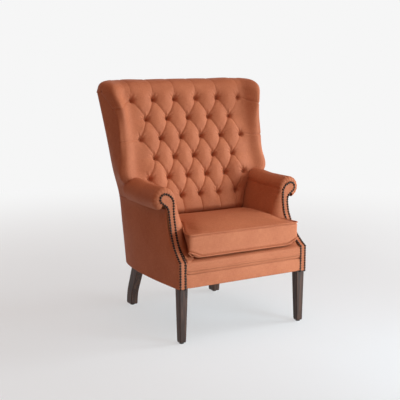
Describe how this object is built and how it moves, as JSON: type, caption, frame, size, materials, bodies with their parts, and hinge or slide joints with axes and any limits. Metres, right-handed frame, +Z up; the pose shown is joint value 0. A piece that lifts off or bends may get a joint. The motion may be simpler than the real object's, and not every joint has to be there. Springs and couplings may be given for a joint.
{
  "type": "wing armchair",
  "caption": "Deep-buttoned wing armchair with scroll arms, nailed facings, a loose seat cushion and dark wooden legs.",
  "frame": {"origin": "on the floor under the middle of the chair", "axes": "+Z up, -Y towards the front, +X towards the sitter's left"},
  "size_m": [0.83, 0.672, 1.088],
  "materials": {
    "stained_wood": "satin dark stain",
    "frame_wood": "sawn beech",
    "upholstery": "plain weave",
    "nail_metal": "antique bronze",
    "webbing": "woven strap",
    "lining": "thin felted cloth",
    "foam": "open foam",
    "glide_plastic": "matte"
  },
  "bodies": {
    "chair": {"arm_facing_left": "upholstery", "arm_facing_right": "upholstery", "arm_pad_left": "upholstery", "arm_pad_right": "upholstery", "arm_post_left": "frame_wood", "arm_post_right": "frame_wood", "arm_rail_left": "frame_wood", "arm_rail_right": "frame_wood", "back_buttons": "upholstery", "back_upright_left": "frame_wood", "back_upright_right": "frame_wood", "back_webbing": "webbing", "corner_blocks": "frame_wood", "crest_rail": "frame_wood", "cross_rail": "frame_wood", "dust_cover": "lining", "facing_nails_left": "nail_metal", "facing_nails_right": "nail_metal", "front_apron": "upholstery", "front_border": "upholstery", "front_leg_left": "stained_wood", "front_leg_right": "stained_wood", "front_rail": "frame_wood", "glides": "glide_plastic", "inside_back": "upholstery", "outside_arm_left": "upholstery", "outside_arm_right": "upholstery", "outside_back": "upholstery", "outside_wing_left": "upholstery", "outside_wing_right": "upholstery", "rear_leg_left": "stained_wood", "rear_leg_right": "stained_wood", "rear_post_left": "frame_wood", "rear_post_right": "frame_wood", "rear_rail": "frame_wood", "seat_deck": "upholstery", "seat_webbing_cross": "webbing", "seat_webbing_long": "webbing", "side_rail_left": "frame_wood", "side_rail_right": "frame_wood", "top_roll": "upholstery", "wing_pad_left": "upholstery", "wing_pad_right": "upholstery", "wing_post_left": "frame_wood", "wing_post_right": "frame_wood", "wing_rail_left": "frame_wood", "wing_rail_right": "frame_wood"},
    "seat_cushion": {"cushion_cover": "upholstery", "cushion_core": "foam"}
  },
  "joints": [
    {"name": "cushion_lift", "type": "slide", "parent": "chair", "child": "seat_cushion", "axis": [0, 0, 1], "range_m": [0, 0.33]}
  ]
}
